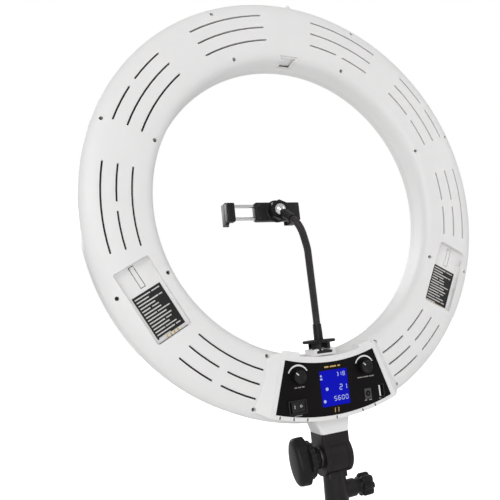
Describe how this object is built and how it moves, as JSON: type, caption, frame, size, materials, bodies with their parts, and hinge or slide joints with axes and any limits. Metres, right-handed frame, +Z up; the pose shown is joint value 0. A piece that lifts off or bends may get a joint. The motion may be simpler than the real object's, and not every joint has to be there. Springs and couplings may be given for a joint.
{
  "type": "ring light",
  "caption": "Large white LED ring light head on a black tilting stand socket, with a rear control panel, battery bays and a gooseneck phone clamp on a shoe inside the ring.",
  "frame": {"origin": "centre of the stand socket's mouth, at the bottom of the assembly", "axes": "+Z up along the stand socket and through the ring's centre line, -Y the way the LEDs face, +Y towards the control panel, +X towards the tilt knob"},
  "size_m": [0.48, 0.0703, 0.5839],
  "materials": {
    "white_abs": "satin moulded white",
    "white_trim": "satin moulded white",
    "milky_diffuser": "milky acrylic",
    "board_white": "white solder mask on metal core",
    "cool_led": "phosphor window",
    "warm_led": "phosphor window",
    "screw_steel": "zinc plated",
    "screw_black": "black oxide",
    "panel_black": "printed overlay",
    "lcd_window": "clear window",
    "lcd_blue": "blue backlight",
    "board_green": "solder mask",
    "component_black": "moulded packages",
    "brass": "turned",
    "pot_zinc": "zinc can",
    "shaft_steel": "turned",
    "knob_black": "moulded, matte",
    "switch_black": "moulded",
    "jack_black": "moulded",
    "port_steel": "dark plated shell",
    "tongue_white": "moulded",
    "label_black": "printed film",
    "shoe_white": "moulded white",
    "bracket_black": "glass filled nylon",
    "bolt_steel": "zinc plated",
    "nylon_washer": "natural nylon",
    "knob_grip": "moulded, fine texture",
    "arm_metal": "black anodised",
    "wheel_black": "moulded",
    "sleeve_black": "satin black",
    "neck_sheath": "satin black sheath",
    "ball_chrome": "polished",
    "clamp_black": "moulded",
    "spring_steel": "spring wire",
    "pad_rubber": "ribbed rubber",
    "rod_chrome": "polished"
  },
  "bodies": {
    "stand_socket": {"stand_socket": "bracket_black", "stand_screw_bush": "brass"},
    "stand_screw": {"stand_screw": "bolt_steel", "stand_screw_knob": "knob_grip"},
    "ring_head": {"rear_housing": "white_abs", "outer_trim_ring": "white_trim", "inner_trim_ring": "white_trim", "front_diffuser": "milky_diffuser", "led_board": "board_white", "cool_leds": "cool_led", "warm_leds": "warm_led", "led_board_screws": "screw_steel", "housing_screws": "screw_black", "control_plate": "panel_black", "lcd_glass": "lcd_window", "lcd_backlight": "lcd_blue", "driver_board": "board_green", "driver_components": "component_black", "board_standoffs": "brass", "brightness_pot": "pot_zinc", "colour_temp_pot": "pot_zinc", "rocker_frame": "switch_black", "dc_jack": "jack_black", "usb_port": "port_steel", "usb_tongue": "tongue_white", "left_bay_label": "label_black", "right_bay_label": "label_black", "top_shoe": "shoe_white", "bottom_shoe": "shoe_white", "tilt_arm": "bracket_black", "arm_screws": "screw_steel", "tilt_bolt": "bolt_steel", "friction_washers": "nylon_washer", "knob_washer": "bolt_steel", "shoe_foot": "arm_metal", "lower_neck_sleeve": "sleeve_black", "neck_base_tube": "neck_sheath"},
    "tilt_knob": {"tilt_knob": "knob_grip", "tilt_knob_insert": "brass"},
    "brightness_knob": {"brightness_knob": "knob_black", "brightness_shaft": "shaft_steel"},
    "colour_temp_knob": {"colour_temp_knob": "knob_black", "colour_temp_shaft": "shaft_steel"},
    "power_rocker": {"power_rocker": "switch_black"},
    "left_latch": {"left_battery_latch": "white_abs"},
    "right_latch": {"right_battery_latch": "white_abs"},
    "lock_wheel": {"shoe_lock_wheel": "wheel_black"},
    "neck_lower": {"neck_lower_tube": "neck_sheath"},
    "neck_middle": {"neck_middle_tube": "neck_sheath"},
    "neck_upper": {"neck_upper_tube": "neck_sheath", "upper_neck_sleeve": "sleeve_black"},
    "ball_stud": {"ball_stud": "ball_chrome"},
    "ball_collar": {"ball_collar": "wheel_black"},
    "clamp": {"clamp_body": "clamp_black", "clamp_springs": "spring_steel", "fixed_jaw_pad": "pad_rubber", "clamp_back_pad": "pad_rubber"},
    "sliding_jaw": {"sliding_jaw": "clamp_black", "sliding_jaw_pad": "pad_rubber", "clamp_rods": "rod_chrome"}
  },
  "joints": [
    {"name": "head_tilt", "type": "hinge", "parent": "stand_socket", "child": "ring_head", "pos_m": [0, 0, 0.0625], "axis": [1, 0, 0], "range_deg": [-90, 90]},
    {"name": "tilt_knob_turn", "type": "hinge", "parent": "ring_head", "child": "tilt_knob", "pos_m": [0.03, 0, 0.0625], "axis": [1, 0, 0], "continuous": true},
    {"name": "stand_screw_turn", "type": "hinge", "parent": "stand_socket", "child": "stand_screw", "pos_m": [-0.02, 0, 0.0245], "axis": [-1, 0, 0], "continuous": true},
    {"name": "brightness_turn", "type": "hinge", "parent": "ring_head", "child": "brightness_knob", "pos_m": [0.04, 0.023, 0.151], "axis": [0, -1, 0], "range_deg": [-150, 150]},
    {"name": "colour_temp_turn", "type": "hinge", "parent": "ring_head", "child": "colour_temp_knob", "pos_m": [-0.04, 0.023, 0.151], "axis": [0, -1, 0], "range_deg": [-150, 150]},
    {"name": "power_rock", "type": "hinge", "parent": "ring_head", "child": "power_rocker", "pos_m": [0.0447, 0.0205, 0.1214], "axis": [0, 0, 1], "range_deg": [-14, 0]},
    {"name": "left_latch_press", "type": "hinge", "parent": "ring_head", "child": "left_latch", "pos_m": [0.18588, 0.0057, 0.25592], "axis": [0.8813, 0, -0.4726], "range_deg": [0, 5], "stiffness_Nm_per_rad": 0.35},
    {"name": "right_latch_press", "type": "hinge", "parent": "ring_head", "child": "right_latch", "pos_m": [-0.18588, 0.0057, 0.25592], "axis": [0.8813, 0, 0.4726], "range_deg": [0, 5], "stiffness_Nm_per_rad": 0.35},
    {"name": "shoe_wheel_turn", "type": "hinge", "parent": "ring_head", "child": "lock_wheel", "pos_m": [0, 0.001, 0.183], "axis": [0, 0, 1], "continuous": true},
    {"name": "neck_bend_low", "type": "hinge", "parent": "ring_head", "child": "neck_lower", "pos_m": [0.00396, 0.0083, 0.2272], "axis": [1, 0, 0], "range_deg": [-25, 25]},
    {"name": "neck_bend_mid", "type": "hinge", "parent": "neck_lower", "child": "neck_middle", "pos_m": [0.0112, 0.0215, 0.2548], "axis": [0, 1, 0], "range_deg": [-25, 25]},
    {"name": "neck_bend_top", "type": "hinge", "parent": "neck_middle", "child": "neck_upper", "pos_m": [0.0212, 0.0371, 0.2888], "axis": [1, 0, 0], "range_deg": [-25, 25]},
    {"name": "ball_twist", "type": "hinge", "parent": "neck_upper", "child": "ball_stud", "pos_m": [0.0337, 0.01, 0.3297], "axis": [-0.1194, 0.8122, -0.571], "continuous": true},
    {"name": "ball_tilt", "type": "hinge", "parent": "ball_stud", "child": "ball_collar", "pos_m": [0.0337, 0.01, 0.3297], "axis": [1, 0, 0], "range_deg": [-45, 15]},
    {"name": "clamp_spin", "type": "hinge", "parent": "ball_collar", "child": "clamp", "pos_m": [0.0337, 0.01, 0.3297], "axis": [0, 1, 0], "continuous": true},
    {"name": "jaw_slide", "type": "slide", "parent": "clamp", "child": "sliding_jaw", "axis": [1, 0, 0], "range_m": [-0.015, 0.01]}
  ]
}
